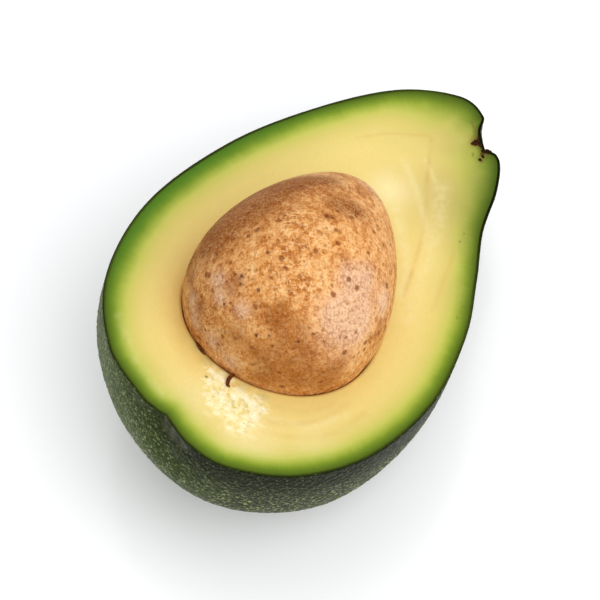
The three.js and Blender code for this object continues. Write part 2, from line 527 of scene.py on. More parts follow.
class Nodes:
    """A node tree under construction: adds nodes and joins their sockets."""

    def node(self, kind, inputs=(), **settings):
        made = self.tree.nodes.new(kind)
        for key, value in settings.items():
            setattr(made, key, value)
        for socket, value in dict(inputs).items():
            self.put(made.inputs[socket], value)
        return made

    def put(self, socket, value):
        """Joins a socket to another one, or gives it a plain value."""
        if isinstance(value, Value):
            value = value.socket
        if isinstance(value, bpy.types.NodeSocket):
            self.tree.links.new(value, socket)
        else:
            socket.default_value = value

    def maths(self, operation, a, b):
        made = self.node("ShaderNodeMath", {0: a, 1: b}, operation=operation)
        return Value(self, made.outputs[0])

    def larger(self, a, b):
        return self.maths("MAXIMUM", a, b)


class Finish(Nodes):
    """A material under construction."""

    def __init__(self, name):
        self.material = bpy.data.materials.new(name)
        self.material.use_nodes = True
        self.tree = self.material.node_tree
        self.shader = self.tree.nodes["Principled BSDF"]

    def set(self, **inputs):
        for key, value in inputs.items():
            self.put(self.shader.inputs[key.replace("_", " ")], value)

    def millimetres(self):
        place = self.node("ShaderNodeTexCoord").outputs["Object"]
        scaled = self.node("ShaderNodeMapping", {"Vector": place, "Scale": (1000, 1000, 1000)})
        return scaled.outputs["Vector"]

    def drawn_out(self, place, angle, scale, shift=0.0):
        """The millimetres turned about z and stretched, for marks that run one way."""
        inputs = {"Vector": place, "Location": (shift, 0, 0), "Rotation": (0, 0, angle), "Scale": scale}
        return self.node("ShaderNodeMapping", inputs, vector_type="TEXTURE").outputs["Vector"]

    def attribute(self, name):
        return Value(self, self.node("ShaderNodeAttribute", attribute_name=name).outputs["Fac"])

    def noise(self, vector, size, detail=3.0, rough=0.5):
        inputs = {"Vector": vector, "Scale": 1 / size, "Detail": detail, "Roughness": rough}
        return Value(self, self.node("ShaderNodeTexNoise", inputs).outputs["Fac"])

    def cells(self, vector, spacing, **settings):
        inputs = {"Vector": vector, "Scale": 1 / spacing}
        return self.node("ShaderNodeTexVoronoi", inputs, **settings).outputs

    def dots(self, vector, rough, spacing, reach, chance, blur):
        """Uneven dots in some of the cells of a grid of this spacing."""
        cell = self.cells(vector, spacing)
        drawn = self.node("ShaderNodeSeparateColor", {"Color": cell["Color"]}).outputs
        edge = self.span(drawn[0], 0.0, 1.0, 0.35 * reach, reach, smooth=False)
        beyond = self.maths("ADD", cell["Distance"], rough * 0.14) - edge
        return self.span(beyond, -blur, blur, 1.0, 0.0) * self.maths("GREATER_THAN", drawn[1], chance)

    def span(self, value, low, high, to_low=0.0, to_high=1.0, smooth=True):
        """A value between low and high as one between to_low and to_high."""
        inputs = {"Value": value, "From Min": low, "From Max": high, "To Min": to_low, "To Max": to_high}
        kind = "SMOOTHSTEP" if smooth else "LINEAR"
        made = self.node("ShaderNodeMapRange", inputs, interpolation_type=kind)
        return Value(self, made.outputs["Result"])

    def mix(self, share, below, above):
        return self.node("ShaderNodeMix", {0: share, 6: below, 7: above}, data_type="RGBA").outputs[2]

    def layers(self, colour, *coats):
        """Lays coats over a colour, each one given as its share and its own colour."""
        for share, coat in coats:
            colour = self.mix(share, colour, coat)
        return colour

    def ramp(self, value, *stops):
        made = self.node("ShaderNodeValToRGB", {"Fac": value})
        elements = made.color_ramp.elements
        while len(elements) < len(stops):
            elements.new(0.5)
        for element, (place, colour) in zip(elements, stops):
            element.position = place
            element.color = colour
        return made.outputs["Color"]

    def bump(self, height, distance, strength):
        inputs = {"Height": height, "Distance": distance, "Strength": strength}
        return self.node("ShaderNodeBump", inputs).outputs["Normal"]


def srgb(red, green, blue):
    """A linear colour with alpha from 0 to 255 display values."""
    channels = (value / 255 for value in (red, green, blue))
    return (*(c / 12.92 if c <= 0.04045 else ((c + 0.055) / 1.055) ** 2.4 for c in channels), 1.0)


SOCKETS = {float: "NodeSocketFloat", int: "NodeSocketInt", tuple: "NodeSocketVector"}


class Steps(Nodes):
    """A Geometry Nodes tree under construction, with an input for each named value."""

    def __init__(self, name, values):
        self.tree = bpy.data.node_groups.new(name, "GeometryNodeTree")
        self.values = values
        face = self.tree.interface
        face.new_socket("Geometry", in_out="INPUT", socket_type="NodeSocketGeometry")
        for label, value in values.items():
            socket = face.new_socket(label, in_out="INPUT", socket_type=SOCKETS[type(value)])
            socket.default_value = value
        face.new_socket("Geometry", in_out="OUTPUT", socket_type="NodeSocketGeometry")
        source = self.tree.nodes.new("NodeGroupInput")
        self.given = {socket.name: Value(self, socket) for socket in source.outputs}

    def named(self, name, kind="FLOAT"):
        made = self.node("GeometryNodeInputNamedAttribute", {"Name": name}, data_type=kind)
        return Value(self, made.outputs[0])

    def vector(self, x=0.0, y=0.0, z=0.0):
        return self.node("ShaderNodeCombineXYZ", {0: x, 1: y, 2: z}).outputs[0]

    def random(self, low, high, seed):
        inputs = {"Min": low, "Max": high, "Seed": seed}
        made = self.node("FunctionNodeRandomValue", inputs, data_type="FLOAT")
        return Value(self, made.outputs["Value"])

    def scatter(self, spread, piece, scale, rotation):
        """Puts a copy of the piece on each point of a spread."""
        inputs = {"Points": spread.outputs["Points"], "Instance": piece, "Rotation": rotation,
                  "Scale": scale}
        return self.node("GeometryNodeInstanceOnPoints", inputs).outputs["Instances"]

    def finish(self, geometry, material):
        loose = self.node("GeometryNodeRealizeInstances", {"Geometry": geometry})
        smooth = self.node("GeometryNodeSetShadeSmooth", {0: loose.outputs[0]})
        inputs = {"Geometry": smooth.outputs[0], "Material": material}
        painted = self.node("GeometryNodeSetMaterial", inputs)
        target = self.tree.nodes.new("NodeGroupOutput")
        self.tree.links.new(painted.outputs[0], target.inputs[0])
        return self


def grown_by(steps, base=None):
    """A plain mesh object that a Geometry Nodes tree makes, with the tree's name and values."""
    name = steps.tree.name
    piece = new_object(name, base or bpy.data.meshes.new(name))
    modifier = piece.modifiers.new(name, "NODES")
    modifier.node_group = steps.tree
    for socket in steps.tree.interface.items_tree:
        if socket.in_out == "INPUT" and socket.name in steps.values:
            modifier[socket.identifier] = steps.values[socket.name]
    graph = bpy.context.evaluated_depsgraph_get()
    shape = bpy.data.meshes.new_from_object(piece.evaluated_get(graph), depsgraph=graph)
    piece.modifiers.remove(modifier)
    piece.data = shape
    shape.name = name
    return piece


# Settings that a user would change

def number(name, description, default, **limits):
    return bpy.props.FloatProperty(name=name, description=description, default=default,
                                   **{"min": 0, **limits})


def length(name, description, default):
    return number(name, description, default, unit="LENGTH", precision=5)


def colour(name, description, red, green, blue):
    return bpy.props.FloatVectorProperty(name=name, description=description, size=4,
                                         subtype="COLOR", min=0, max=1,
                                         default=srgb(red, green, blue))


class PeelSettings(bpy.types.PropertyGroup):
    wall: length("Wall", "Thickness of the peel", 0.6 * MM)
    pebble_size: length("Pebble size", "Width of one pebble of the peel", 1.5 * MM)
    pebble_depth: length("Pebble depth", "Depth of the grooves between pebbles", 0.09 * MM)
    speck_spacing: length("Speck spacing", "Least distance between specks", 1.05 * MM)
    speck_radius: length("Speck radius", "Radius of the largest specks", 0.3 * MM)
    dark: colour("Dark green", "Colour of the grooves and the shaded peel", 22, 29, 7)
    light: colour("Grey green", "Colour of the pebbles", 80, 88, 42)
    speck: colour("Speck", "Colour of the corky specks", 166, 172, 116)
    edge: colour("Cut edge", "Colour of the peel where it is cut", 50, 63, 18)


class FleshSettings(bpy.types.PropertyGroup):
    green_band: length("Green band", "Width of the green zone under the peel", 4.5 * MM)
    leaf: colour("Leaf green", "Flesh right under the peel", 78, 97, 22)
    lime: colour("Lime", "Flesh past the green zone", 193, 195, 88)
    butter: colour("Butter", "Flesh in the middle", 236, 212, 129)
    warm: colour("Warm", "Flesh round the seed", 226, 186, 106)
    cream: colour("Cream", "Torn flesh", 253, 243, 192)


class SeedSettings(bpy.types.PropertyGroup):
    half_length: length("Half length", "Half of the seed's length", 25.4 * MM)
    half_width: length("Half width", "The seed's radius half way along", 19.8 * MM)
    height_to_width: number("Height to width", "How much higher than wide the seed is", 1.05,
                            min=0.5, max=2)
    taper: number("Taper", "How much the seed narrows to the neck", 0.27, max=0.9)
    coat: colour("Coat", "Colour of the seed coat", 235, 169, 99)
    deep: colour("Deep brown", "Colour of its pores and spots", 128, 60, 14)
    # Colour of the pale bloom on the coat, which also paints its highlight.
    bloom_and_highlight: colour("Bloom", "Pale haze on the coat", 238, 198, 166)


class StageSettings(bpy.types.PropertyGroup):
    floor: colour("Floor", "Colour of the floor", 252, 253, 255)
    floor_glow: number("Floor glow", "How much the floor shines by itself", 0.1)
    key_power: number("Key light", "Power of the light at the front right", 6.8, unit="POWER")
    panel_power: number("Back panel", "Power of the panel that the floor mirrors", 4.0, unit="POWER")
    sky: number("Sky", "Strength of the even light all round", 0.56)


# Peel

PEEL_STEPS = {"along": 300, "around": 210, "inside": 8}
PEEL_BEVEL = 0.2
PEEL_INSET = 0.06
LIMIT_ROOM = 0.35
EDGE_PLACES = (0.15, 0.5, 1.0)


def pebble_height(points, size):
    """0 in the grooves between pebbles, 1 on top of them."""
    gap = np.empty(len(points))
    for i, point in enumerate(points / size):
        near = noise.voronoi(Vector(point))[0]
        gap[i] = near[1] - near[0]
    return smoothstep(gap, 0.02, 0.55)


def dent_share(points):
    """How far a point lies in the smooth dent below the rim, from 0 to 1."""
    along = unit(DENT_ALONG)
    toward = points - DENT_CENTRE
    run = toward @ along / DENT_HALF[0]
    drop = toward[..., 2] / DENT_HALF[1]
    beside = np.linalg.norm(toward, axis=-1) < 9
    return np.where(beside, 1 - smoothstep(np.hypot(run, drop), 0.35, 1.15), 0)


def peel_outside(along, turn, settings):
    """The belly with pebbles and the dent pressed in, and the shares its finish needs."""
    points, normals = belly(along, turn)
    flat = points.reshape(-1, 3)
    pebbles = pebble_height(flat, settings.pebble_size / MM).reshape(points.shape[:2])
    dent = dent_share(points)
    groove = settings.pebble_depth / MM * (1 - pebbles) * (1 - dent) + DENT_DEPTH * dent
    groove *= smoothstep(-points[..., 2], -0.3, 0.7)
    groove += PEEL_INSET
    return points - normals * groove[..., None], normals, pebbles, dent


def peel_rings(settings):
    """Rings across the peel: its outside, the cut edge on the left, its inside, the right.

    Also gives, for each point, its place across the wall, its pebble and its dent share.
    """
    along = even_along(PEEL_STEPS["along"] + 1)
    turn = np.linspace(0, math.pi, PEEL_STEPS["around"] + 1)
    outside, normals, pebbles, dent = peel_outside(along, turn, settings)
    wall = settings.wall / MM
    bevel = np.minimum(PEEL_BEVEL, -0.3 * outside[:, :, 2].min(axis=1))
    outside[:, (0, -1), 2] = -bevel[:, None]
    level = np.zeros(len(along))
    steps = ((bevel, level), (level + 0.5 * wall, level + 0.01), (level + wall, -0.4 * bevel))

    def edge(side):
        rim = outside[:, side] * (1, 1, 0)
        rows = [rim - normals[:, side] * inset[:, None] + rise[:, None] * (0, 0, 1)
                for inset, rise in steps]
        return np.stack(rows, axis=1)

    full, full_normals = belly(along, np.linspace(0, math.pi, PEEL_STEPS["inside"] + 1))
    inner = (full - full_normals * wall)[:, 1:-1][:, ::-1]
    rings = np.concatenate([outside, edge(-1), inner, edge(0)[:, ::-1]], axis=1)
    skin = outside.shape[1]
    wall_place, pebble, dented = np.ones((3, *rings.shape[:2]))
    wall_place[:, :skin] = 0
    wall_place[:, skin:skin + 3] = EDGE_PLACES
    wall_place[:, -3:] = EDGE_PLACES[::-1]
    pebble[:, :skin] = pebbles
    dented[:, :skin], dented[:, skin:] = dent, 0
    return rings, wall_place.ravel(), pebble.ravel(), dented.ravel()


def room_for_specks(points, dent):
    """Where specks may sit: under the rim, off the dent and short of the box's sides."""
    row = to_row(points)
    low, high = (np.array(corner) for corner in CAD_BOX)
    margin = np.minimum(row - low, high - row).min(axis=1) / MM
    rim = smoothstep(-points[:, 2], 0.2, 0.8)
    return rim * (1 - dent) * (margin > LIMIT_ROOM)


def shaded_share(points):
    """How much darker the peel is: in a band under the rim on the right, fading down."""
    below = 1 - smoothstep(-points[:, 2], 1.0, 14.0)
    thin = 1 - smoothstep(-points[:, 2], 0.2, 2.0)
    return np.maximum(0.92 * below * side_share(points, -140, 0.3, 0.9), 0.4 * thin)


def green_reflection_share(points):
    """How much greener the peel is, as a painted reflection of green light: on the left and round the
    blossom end's left corner.
    """
    return 0.75 * side_share(points, 130, 0.2, 0.95)


def edge_shade_share(points):
    """How much painted shade darkens the peel's cut edge: most along the right of the neck, some on the
    left.
    """
    x, y = points[:, 0], points[:, 1]
    right = smoothstep(x, 12, 44) * smoothstep(-y, -12, 8)
    return np.maximum(right, 0.5 * smoothstep(x, -12, 10) * smoothstep(y, 0, 10))


def peel_finish(settings):
    finish = Finish("peel_green")
    place, at, span = finish.millimetres(), finish.attribute, finish.span
    broad = finish.noise(place, 8.0)
    middle = finish.noise(place, 2.2, 3.0, 0.6)
    fine = finish.noise(place, 0.5, 3.0, 0.65)
    flecks = finish.noise(place, 0.45, 2.0, 0.55)
    pebble = finish.cells(place, 0.85, feature="SMOOTH_F1")["Distance"]
    small = span(pebble, 0.12, 0.62, 1.0, 0.0)
    tops = (at("pebble") * 0.5 + small * 0.5) * span(middle, 0.25, 0.7, 0.2, 1.0)
    fleck = finish.larger(finish.dots(place, fine, 0.95, 0.5, 0.3, 0.1),
                          finish.dots(place, fine, 0.55, 0.5, 0.4, 0.12) * 0.7)
    smooth_skin = finish.mix(span(middle, 0.3, 0.7), srgb(56, 60, 42), srgb(92, 94, 76))
    ground = finish.layers(
        finish.mix(tops, settings.dark, settings.light),
        (span(broad, 0.35, 0.7, 0.0, 0.4), srgb(46, 66, 22)),
        # Painted green reflection on the left of the peel.
        (at("painted_green_reflection") * span(fine, 0.3, 0.7, 0.9, 0.4), srgb(90, 114, 34)),
        (span(fine, 0.45, 0.68, 0.0, 0.55), settings.dark),
        (fleck * span(flecks, 0.35, 0.6, 0.3, 0.9), settings.speck),
        (at("shaded"), srgb(14, 20, 4)),
        (span(at("dent"), 0.1, 0.9, 0.0, 0.85), smooth_skin),
        (at("dot") * 0.9, srgb(10, 12, 8)),
    )
    cut = at("wall_place")
    fresh = finish.ramp(cut, (0.0, srgb(20, 26, 6)), (0.35, settings.edge), (1.0, srgb(80, 96, 28)))
    # Painted shade on the cut edge, darkest along the right of the neck.
    shaded_cut = finish.ramp(cut, (0.0, srgb(8, 10, 2)), (0.6, srgb(14, 16, 4)), (1.0, srgb(38, 46, 12)))
    is_cut = span(cut, 0.02, 0.12)
    finish.set(
        Base_Color=finish.mix(is_cut, ground, finish.mix(at("painted_edge_shade"), fresh, shaded_cut)),
        Roughness=finish.larger(span(fine, 0.2, 0.8, 0.36, 0.56), is_cut * 0.8),
        Specular_IOR_Level=span(is_cut, 0.0, 1.0, 0.09, 0.03),
        Specular_Tint=srgb(238, 255, 190),
        Normal=finish.bump(small * 0.8 + flecks * 0.5, 0.0002, 0.9),
    )
    return finish.material


class AVOCADO_OT_peel(bpy.types.Operator):
    """Makes the pebbled peel with its cut edge"""

    bl_idname = "avocado.peel"
    bl_label = "Peel"

    def execute(self, context):
        settings = context.scene.avocado_peel
        rings, wall_place, pebble, dent = peel_rings(settings)
        flat = rings.reshape(-1, 3)
        px, py, depth, radius = PEEL_DOT_PX
        spot = np.array([*on_cut(px, py), -depth])
        outside = wall_place < 0.01
        peel = solid_from_rings("peel", rings, {
            "wall_place": wall_place,
            "pebble": pebble,
            "dent": dent,
            "shaded": shaded_share(flat) * outside,
            "dot": haze(np.linalg.norm(flat - spot, axis=1) / radius) * outside,
            "painted_green_reflection": green_reflection_share(flat) * outside,
            "painted_edge_shade": edge_shade_share(flat),
            "speck_room": room_for_specks(flat, dent) * outside,
        })
        finish_piece(peel, peel_finish(settings), "skin", "skin")
        return {"FINISHED"}


def speck_steps(settings, material):
    """A Geometry Nodes tree that scatters flat corky specks over a surface, evenly spaced."""
    steps = Steps("corky_specks", {
        "Spacing": settings.speck_spacing * 1.0,
        "Most per area": 1600000.0,
        "Small radius": 0.45 * settings.speck_radius,
        "Large radius": settings.speck_radius,
        "Flatness": 0.3,
        "Seed": 3,
    })
    given = steps.given
    spread = steps.node("GeometryNodeDistributePointsOnFaces", {
        "Mesh": given["Geometry"], "Distance Min": given["Spacing"],
        "Density Max": given["Most per area"], "Density Factor": steps.named("speck_room"),
        "Seed": given["Seed"]}, distribute_method="POISSON")
    lump = steps.node("GeometryNodeMeshIcoSphere", {"Radius": 1.0, "Subdivisions": 1})
    radius = steps.random(given["Small radius"], given["Large radius"], given["Seed"])
    size = steps.vector(radius, radius, radius * given["Flatness"])
    placed = steps.scatter(spread, lump.outputs["Mesh"], size, spread.outputs["Rotation"])
    return steps.finish(placed, material)


def speck_finish(settings):
    finish = Finish("corky_speck")
    tone = finish.noise(finish.millimetres(), 1.5, 2.0)
    body = finish.mix(finish.span(tone, 0.3, 0.7, 0.25, 1.0), settings.light, settings.speck)
    shaded = finish.span(finish.attribute("shaded"), 0.0, 0.7, 0.0, 0.75)
    body = finish.mix(shaded, body, srgb(40, 50, 22))
    finish.set(Base_Color=body, Roughness=0.6, Specular_IOR_Level=0.3)
    return finish.material


class AVOCADO_OT_specks(bpy.types.Operator):
    """Scatters the pale corky specks over the peel"""

    bl_idname = "avocado.specks"
    bl_label = "Corky specks"

    def execute(self, context):
        settings = context.scene.avocado_peel
        peel = made_before("peel")
        material = speck_finish(settings)
        specks = grown_by(speck_steps(settings, material), peel.data.copy())
        finish_piece(specks, material, "skin")
        return {"FINISHED"}


# Flesh

FLESH_STEPS = {"along": 300, "under": 14, "face": 110, "hollow": 12}
FLESH_OVERLAP = 0.05
# The waves of the cut face by size and height, and how high its marks stand or lie pressed in.
FACE_WAVES = ((9.0, 0.07), (2.5, 0.03))
FACE_RELIEF = {"ridge": 0.17, "torn": -0.06, "crack": -0.26, "stalk": -0.25, "rim": -0.12, "lip": -0.2}
HIGHEST_RELIEF = 0.22
TORN_BORDER = ((2.4, 1.3), (0.8, 0.8))
NOTCH_PX = (331, 251, 5.3)
NOTCH_BAND = 3.0
STALK_STAIN = 1.5
SEED_GAP = 0.05
BAND_LENGTH = 12.0
BAND_SHARE = 4.5


def rim_loop(grid, column):
    """One closed loop of a belly grid: down a right column, back up its mirror column."""
    mirror = grid.shape[1] - 1 - column
    return np.vstack([grid[1:-1, column], grid[-1:, column], grid[-2:0:-1, mirror], grid[:1, mirror]])


def flesh_loops(seed, wall):
    """Loops from the keel under the peel up to the rim, over the cut and into the hollow."""
    along = even_along(FLESH_STEPS["along"] + 1)
    half = np.linspace(0, math.pi / 2, FLESH_STEPS["under"] + 1)
    turn = np.concatenate([half, math.pi - half[-2::-1]])
    points, normals = belly(along, turn)
    shell = points - normals * (wall - FLESH_OVERLAP)
    under = [rim_loop(shell, column) for column in range(FLESH_STEPS["under"], -1, -1)]
    rim = under[-1]
    opening = hollow_opening(rim[:, :2] - SEED_CENTRE[:2], seed, SEED_GAP)
    shares = np.linspace(0, 1, FLESH_STEPS["face"] + 1)[1:]
    face = [rim + (opening - rim) * share for share in shares]
    start = unit(opening - SEED_CENTRE)
    down = np.array((0, 0, -1.0))
    hollow = []
    for share in np.linspace(0, 1, FLESH_STEPS["hollow"] + 1)[1:]:
        way = unit(start * math.cos(share * math.pi / 2) + down * math.sin(share * math.pi / 2))
        hollow.append(SEED_CENTRE + way * egg_distance(way, seed, SEED_GAP)[:, None])
    return np.array([*under, *face, *hollow]), rim, opening


def torn_mask(level):
    """How torn the cut is, from 0 to 1, with a ragged border."""
    outline = np.array([on_cut(*pixel) for pixel in TORN_OUTLINE_PX])
    border = nearest_distance(level, dense_line(outline, closed=True))
    signed = np.where(inside_outline(level, outline), border, -border)
    close = signed > -3
    signed[close] += sum(height * noise_at(level[close], size) for size, height in TORN_BORDER)
    return smoothstep(signed, -1.0, 3.2)


def fibre_ridges(level):
    """Ridges that run away from the seed, wavering, 0 in their troughs and 1 on top."""
    away = level - SEED_CENTRE[:2]
    reach = np.linalg.norm(away, axis=1)
    angle = np.arctan2(away[:, 1], away[:, 0]) * 25 + 1.1 * noise_at(level, 2.6)
    first = noise_at(np.column_stack([angle / 0.8, reach / 3.4]), 1.0)
    second = noise_at(np.column_stack([angle / 0.4, reach / 1.6, 0 * reach + 7]), 1.0)
    return np.clip(1 - np.abs(first) * 1.9 - 0.35 * np.abs(second), 0, 1)


def crack_share(level):
    share = np.zeros(len(level))
    for corners in CRACKS_PX:
        line = dense_line([on_cut(*corner) for corner in corners])
        distance = nearest_distance(level, line) + 0.22 * noise_at(level, 0.7)
        share = np.maximum(share, 1 - smoothstep(distance, 0.08, 0.34))
    return share


def line_share(level, lines):
    share = np.zeros(len(level))
    for corners, width, strength in lines:
        distance = nearest_distance(level, dense_line(smooth_path(corners)))
        share = np.maximum(share, strength * haze(distance / width))
    return share


def marks_on_cut(level, marks, fade):
    """Round marks at their pixels, each with a radius and, where it has one, a strength."""
    share = np.zeros(len(level))
    for px, py, radius, *strength in marks:
        reach = np.linalg.norm(level - on_cut(px, py), axis=1) / radius
        share = np.maximum(share, (strength or [1])[0] * fade(reach))
    return share


def band_stretch(level):
    """How much wider than at the round end the green zone is near each point."""
    x, y = level[:, 0], level[:, 1]
    left = smoothstep(y, -2, 10)
    upper = 0.2 * left * smoothstep(x, -34, -12) * (1 - smoothstep(x, 20, 40))
    neck = 0.14 * left * smoothstep(x, 14, 42) + 0.85 * (1 - left) * smoothstep(x, 24, 50)
    return 1 + upper + neck


def vivid_share(level):
    """How vivid the green zone is: most on the left, from the seed's middle to the neck."""
    x, y = level[:, 0], level[:, 1]
    upper = smoothstep(y, 0, 16) * smoothstep(-x, -62, -8) * (1 - smoothstep(-x, 5, 40))
    return 0.9 * upper + 0.08


def face_shares(face):
    """The marks of the cut face at its points, each from 0 to 1."""
    torn = torn_mask(face)
    some = torn > 0.01
    ridge, crack = np.zeros(len(face)), np.zeros(len(face))
    ridge[some] = fibre_ridges(face[some])
    crack[some] = crack_share(face[some])
    return {
        "torn": torn, "ridge": ridge * torn, "crack": crack * torn,
        "vein": line_share(face, VEINS_PX),
        "streak": line_share(face, STREAKS_PX),
        "torn_highlight": marks_on_cut(face, TORN_HIGHLIGHT_PX, disc) * torn,
        "mark": marks_on_cut(face, FLESH_MARKS_PX, disc),
        "stalk": marks_on_cut(face, STALK_CRUMBS_PX, lambda reach: haze(reach / STALK_STAIN)),
        "pale": marks_on_cut(face, PALE_AND_HIGHLIGHT_PX, haze),
        "neck_grey": marks_on_cut(face, NECK_GREY_PX, haze),
        "lip_painted_shade": marks_on_cut(face, LIP_SHADE_PX, haze),
        "vivid": vivid_share(face),
    }


def flesh_shares(loops, rim, opening, wall, green_band):
    """Presses the relief into the cut face and gives the shares that the finish needs."""
    flat = loops.reshape(-1, 3)
    level = flat[:, :2]
    on_face = np.zeros(loops.shape[:2], bool)
    on_face[FLESH_STEPS["under"]:FLESH_STEPS["under"] + FLESH_STEPS["face"] + 1] = True
    on_face = on_face.ravel()
    face = level[on_face]
    round_rim = dense_line(rim, closed=True)
    place, outer = nearest_on(level, round_rim)
    from_notch = np.linalg.norm(round_rim - on_cut(*NOTCH_PX[:2]), axis=1)
    green_rim = nearest_distance(level, round_rim[from_notch > NOTCH_PX[2]])
    inner = nearest_distance(face, dense_line(opening, closed=True))
    marks = face_shares(face)
    marks["seed_mm"] = inner
    edges = {"rim": 1 - smoothstep(outer[on_face], 0.0, 0.8), "lip": 1 - smoothstep(inner, 0.0, 0.6)}
    relief = sum(height * noise_at(face, size) for size, height in FACE_WAVES)
    relief += sum(height * {**marks, **edges}[name] for name, height in FACE_RELIEF.items())
    flat[on_face, 2] += np.minimum(relief, HIGHEST_RELIEF)
    shares = {name: np.zeros(len(flat)) for name in marks}
    for name, values in marks.items():
        shares[name][on_face] = values
    from_peel = np.minimum(green_rim, outer * NOTCH_BAND) + wall - FLESH_OVERLAP
    shares["peel_mm"] = from_peel / band_stretch(level) * BAND_SHARE / green_band
    shares["run_mm"] = place * LINE_STEP
    left = side_share(level, 125, 0.0, 0.9, SEED_CENTRE)
    shares["warm"] = haze(shares["seed_mm"] / 4.5) * (0.12 + 0.75 * left)
    return shares


def flesh_finish(settings):
    finish = Finish("flesh_butter")
    place, at, span = finish.millimetres(), finish.attribute, finish.span
    blotch = finish.noise(place, 5.0)
    cloud = finish.noise(place, 1.6, 3.0, 0.55)
    grain = finish.noise(place, 0.35, 3.0, 0.65)
    from_peel, torn = at("peel_mm"), at("torn")
    run = finish.node("ShaderNodeCombineXYZ", {"X": at("run_mm"), "Y": from_peel * 0.12}).outputs[0]
    stripe = (finish.noise(run, 0.55, 3.0, 0.6) - 0.5) * 0.5
    ragged = (blotch - 0.5) * 0.9 + stripe * span(from_peel, 3.0, 6.5, 1.0, 0.0)
    band = from_peel + ragged * span(from_peel, 0.5, 2.5, 0.15, 1.0)
    stops = ((0.0, srgb(52, 64, 12)), (0.3, srgb(60, 76, 16)), (0.8, settings.leaf),
             (1.4, srgb(94, 117, 27)), (2.2, srgb(121, 144, 38)), (3.2, srgb(158, 173, 60)),
             (4.5, settings.lime), (6.0, srgb(214, 200, 108)), (8.0, srgb(227, 207, 122)),
             (11.0, settings.butter))
    inside = span(band, 2.0, 6.5)
    shred = finish.mix(span(at("ridge"), 0.1, 0.8), srgb(238, 218, 142), settings.cream)
    shred = finish.mix(span(cloud, 0.46, 0.66, 0.0, 0.6), shred, srgb(255, 249, 212))
    strands = finish.drawn_out(place, 0.2, (0.6, 1.7, 0.8))
    flake = finish.dots(strands, grain, 1.1, 0.62, 0.35, 0.13)
    gap = finish.dots(strands, grain, 0.75, 0.46, 0.55, 0.1)
    body = finish.layers(
        finish.ramp(finish.maths("DIVIDE", band, BAND_LENGTH),
                    *((at_mm / BAND_LENGTH, shade) for at_mm, shade in stops)),
        (at("vivid") * span(band, 1.0, 5.0, 0.55, 0.0), srgb(72, 130, 32)),
        (at("warm") * span(blotch, 0.3, 0.7, 0.6, 1.0), settings.warm),
        (inside * span(cloud, 0.45, 0.75, 0.0, 0.16), srgb(226, 200, 116)),
        (at("neck_grey") * span(band, 0.4, 3.6), srgb(178, 158, 96)),
        # Pale flesh, and a painted highlight beside the seed's upper right.
        (at("pale") * span(band, 2.5, 6.5, 0.0, 0.55), srgb(252, 240, 190)),
        # Painted shade of the seed on the flesh along the hollow's lower left edge.
        (at("lip_painted_shade") * span(cloud, 0.3, 0.65, 0.5, 1.0), srgb(180, 170, 108)),
        (inside * span(grain, 0.35, 0.7, 0.0, 0.16), srgb(206, 182, 98)),
        (at("streak") * span(cloud, 0.3, 0.65, 0.2, 0.7), srgb(240, 228, 168)),
        (at("vein") * span(blotch, 0.3, 0.65, 0.15, 0.55), srgb(206, 156, 78)),
        (torn * span(cloud, 0.3, 0.6, 0.45, 0.85), shred),
        # Painted highlights on the lumps of the torn place.
        (at("torn_highlight") * span(grain, 0.3, 0.65, 0.1, 0.85), srgb(255, 250, 220)),
        (flake * torn * 0.55, srgb(255, 251, 224)),
        (gap * torn * 0.5, srgb(188, 174, 88)),
        (at("crack") * span(grain, 0.3, 0.6, 0.1, 0.5), srgb(196, 168, 80)),
        (at("mark") * 0.8, srgb(120, 104, 44)),
        (at("stalk") * span(grain, 0.2, 0.7, 0.5, 1.0), srgb(112, 74, 40)),
        # Painted shade in the gap where the flesh meets the seed.
        (span(at("seed_mm"), 0.0, 0.35, 0.5, 0.0), srgb(150, 112, 54)),
    )
    finish.set(
        Base_Color=body,
        Roughness=span(cloud, 0.3, 0.7, 0.34, 0.5),
        Specular_IOR_Level=span(band, 1.5, 7.0, 0.1, 0.32),
        Specular_Tint=srgb(255, 250, 214),
        Normal=finish.bump(grain * 0.5 + cloud * 0.6, 0.00014, 0.4),
        Subsurface_Weight=0.12, Subsurface_Radius=(1.0, 0.75, 0.3), Subsurface_Scale=0.001,
    )
    return finish.material


class AVOCADO_OT_flesh(bpy.types.Operator):
    """Makes the flesh with its cut face, its hollow and the torn place beside the seed"""

    bl_idname = "avocado.flesh"
    bl_label = "Flesh"

    def execute(self, context):
        scene = context.scene
        settings = scene.avocado_flesh
        wall = scene.avocado_peel.wall / MM
        loops, rim, opening = flesh_loops(scene.avocado_seed, wall)
        shares = flesh_shares(loops, rim, opening, wall, settings.green_band / MM)
        flesh = solid_from_rings("flesh_cut", loops, shares)
        finish_piece(flesh, flesh_finish(settings), "flesh", "flesh")
        return {"FINISHED"}


# Crumbs at the stalk's scar and scraps of seed coat

CRUMBS_PER_MARK = 5


def lump(shape, centre, radius, seed):
    """Adds a rough lump to a bmesh, in the row's metres."""
    made = bmesh.ops.create_icosphere(shape, subdivisions=2, radius=1.0)
    for vertex in made["verts"]:
        way = vertex.co.copy()
        bulge = 1 + 0.7 * noise.noise(way * 1.4 + Vector((seed, 0, 0)))
        bulge += 0.3 * noise.noise(way * 3.7 + Vector((0, seed, 0)))
        place = np.array(centre) + np.array(way) * radius * bulge * (1, 1, 0.7)
        vertex.co = Vector(to_row(place))


